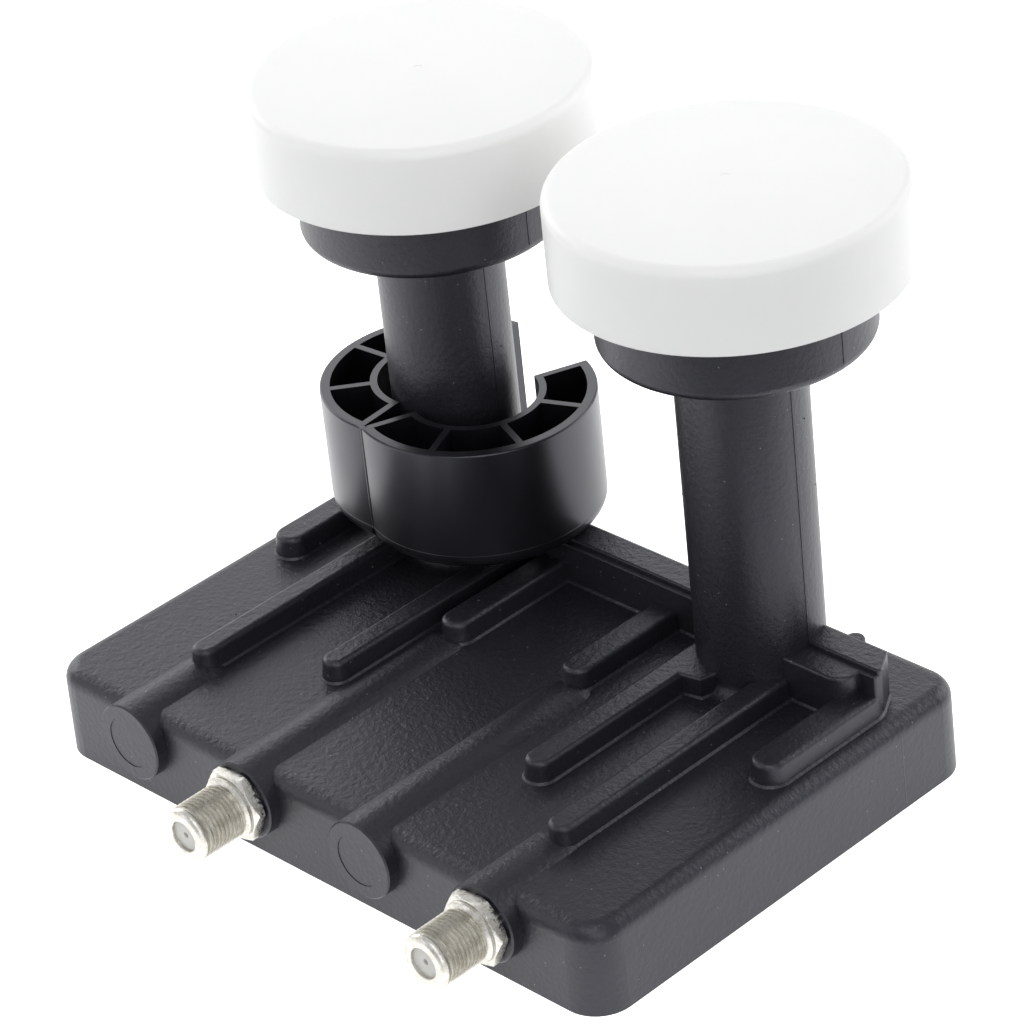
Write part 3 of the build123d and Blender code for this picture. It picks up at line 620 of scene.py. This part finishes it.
def nib_tree():
    """Specks of dust and paint scattered over the coat, each half sunk in it."""
    tree, given = geometry_tree("paint_nibs", {
        "Spacing": "Float", "Smallest": "Float", "Largest": "Float", "Seed": "Int",
        "Finish": "Material"})
    where = add(tree, "GeometryNodeInputPosition").outputs["Position"]
    height = add(tree, "ShaderNodeSeparateXYZ", {0: where}).outputs["Z"]
    high = add(tree, "FunctionNodeCompare", {
        "A": height, "B": NIB_LOW * MM}, operation="GREATER_THAN").outputs[0]
    low = add(tree, "FunctionNodeCompare", {
        "A": height, "B": NIB_HIGH * MM}, operation="LESS_THAN").outputs[0]
    band = add(tree, "FunctionNodeBooleanMath", {0: high, 1: low}, operation="AND").outputs[0]
    spots = add(tree, "GeometryNodeDistributePointsOnFaces", {
        "Mesh": given["Geometry"], "Selection": band, "Distance Min": given["Spacing"],
        "Density Max": NIB_DENSITY, "Seed": given["Seed"]}, distribute_method="POISSON")
    speck = add(tree, "GeometryNodeMeshIcoSphere", {
        "Radius": 1.0, "Subdivisions": 1}).outputs["Mesh"]
    size = add(tree, "FunctionNodeRandomValue", {
        "Min_001": given["Smallest"], "Max_001": given["Largest"], "Seed": given["Seed"]})
    many = add(tree, "GeometryNodeInstanceOnPoints", {
        "Points": spots.outputs["Points"], "Instance": speck, "Scale": size.outputs[1]})
    close_tree(tree, many.outputs["Instances"], given["Finish"])
    return tree


nibs = grown(new_object("paint_nibs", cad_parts["housing"].data.copy()), nib_tree(), {
    "Spacing": NIB_SPACING * MM, "Smallest": NIB_SMALLEST * MM, "Largest": NIB_LARGEST * MM,
    "Seed": NIB_SEED, "Finish": coat})
nibs.data.shade_smooth()
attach(nibs, "lnb")


def make_floor():
    """A pale sheet that the panels light, and that glows where the camera or a gloss sees it."""
    material = bpy.data.materials.new("pale_studio_floor")
    material.use_nodes = True
    tree = material.node_tree
    tree.nodes.clear()
    rays = add(tree, "ShaderNodeLightPath").outputs
    seen = add(tree, "ShaderNodeMath", {
        0: rays["Is Camera Ray"], 1: rays["Is Glossy Ray"]}, operation="MAXIMUM")
    seen = add(tree, "ShaderNodeMath", {
        0: seen.outputs[0], 1: rays["Is Transmission Ray"]}, operation="MAXIMUM")
    level = add(tree, "ShaderNodeMath", {
        0: seen.outputs[0], 1: FLOOR_GLOW}, operation="MULTIPLY")
    glow = add(tree, "ShaderNodeEmission", {"Strength": level.outputs[0]})
    paper = add(tree, "ShaderNodeBsdfDiffuse", {"Color": linear("#FAFAFA")})
    both = add(tree, "ShaderNodeAddShader", {0: paper.outputs[0], 1: glow.outputs[0]})
    add(tree, "ShaderNodeOutputMaterial", {"Surface": both.outputs[0]})
    shape = bmesh.new()
    bmesh.ops.create_grid(shape, x_segments=4, y_segments=4, size=FLOOR_HALF)
    mesh = bpy.data.meshes.new("floor")
    shape.to_mesh(mesh)
    shape.free()
    mesh.materials.append(material)
    floor = new_object("floor", mesh)
    middle = direction(CAMERA_TURN, 0) * (FLOOR_EDGE * MM - FLOOR_HALF)
    floor.location = middle - Vector((0, 0, FLOOR_DROP * MM))
    floor.rotation_euler.z = math.radians(CAMERA_TURN)


def make_world():
    """A dim white tent for the part, and plain white for the camera."""
    world = bpy.data.worlds.new("white_tent")
    world.use_nodes = True
    tree = world.node_tree
    tree.nodes.clear()
    rays = add(tree, "ShaderNodeLightPath").outputs
    soft = add(tree, "ShaderNodeBackground", {
        "Color": linear("#F4F6FA"), "Strength": WORLD_LIGHT}).outputs[0]
    white = add(tree, "ShaderNodeBackground", {
        "Color": (1, 1, 1, 1), "Strength": 1.0}).outputs[0]
    choice = add(tree, "ShaderNodeMixShader", {
        "Fac": rays["Is Camera Ray"], 1: soft, 2: white}).outputs[0]
    add(tree, "ShaderNodeOutputWorld", {"Surface": choice})
    bpy.context.scene.world = world


def make_panel(name, turn, lift, width, power):
    """A soft rectangular lamp that faces the part."""
    panel = bpy.data.lights.new(name, "AREA")
    panel.shape = "RECTANGLE"
    panel.size = width
    panel.size_y = PANEL_H
    panel.energy = power
    lamp = new_object(name, panel)
    away = direction(turn, lift)
    lamp.location = Vector(PANEL_AIM) + away * PANEL_AWAY
    lamp.rotation_euler = away.to_track_quat("Z", "Y").to_euler()


def make_camera():
    """The photograph's own viewpoint."""
    away = direction(CAMERA_TURN, CAMERA_LIFT)
    right = (-away).cross(Vector((0, 0, 1))).normalized()
    up = right.cross(-away)
    roll = math.radians(CAMERA_ROLL)
    across = math.cos(roll) * right + math.sin(roll) * up
    upward = math.cos(roll) * up - math.sin(roll) * right
    lens = bpy.data.cameras.new("camera")
    lens.sensor_fit = "HORIZONTAL"
    lens.sensor_width = SENSOR
    lens.lens = SENSOR * FOCAL_PIXELS / PHOTO_PIXELS
    lens.clip_end = 20.0
    camera = new_object("camera", lens)
    matrix = Matrix((across, upward, away)).transposed().to_4x4()
    matrix.translation = Vector(CAMERA_TARGET) * MM + away * CAMERA_AWAY * MM
    camera.matrix_world = matrix
    bpy.context.scene.camera = camera


make_floor()
make_world()
for name, panel in PANELS.items():
    make_panel(name, *panel)
make_camera()
bpy.context.scene.view_settings.view_transform = "Standard"
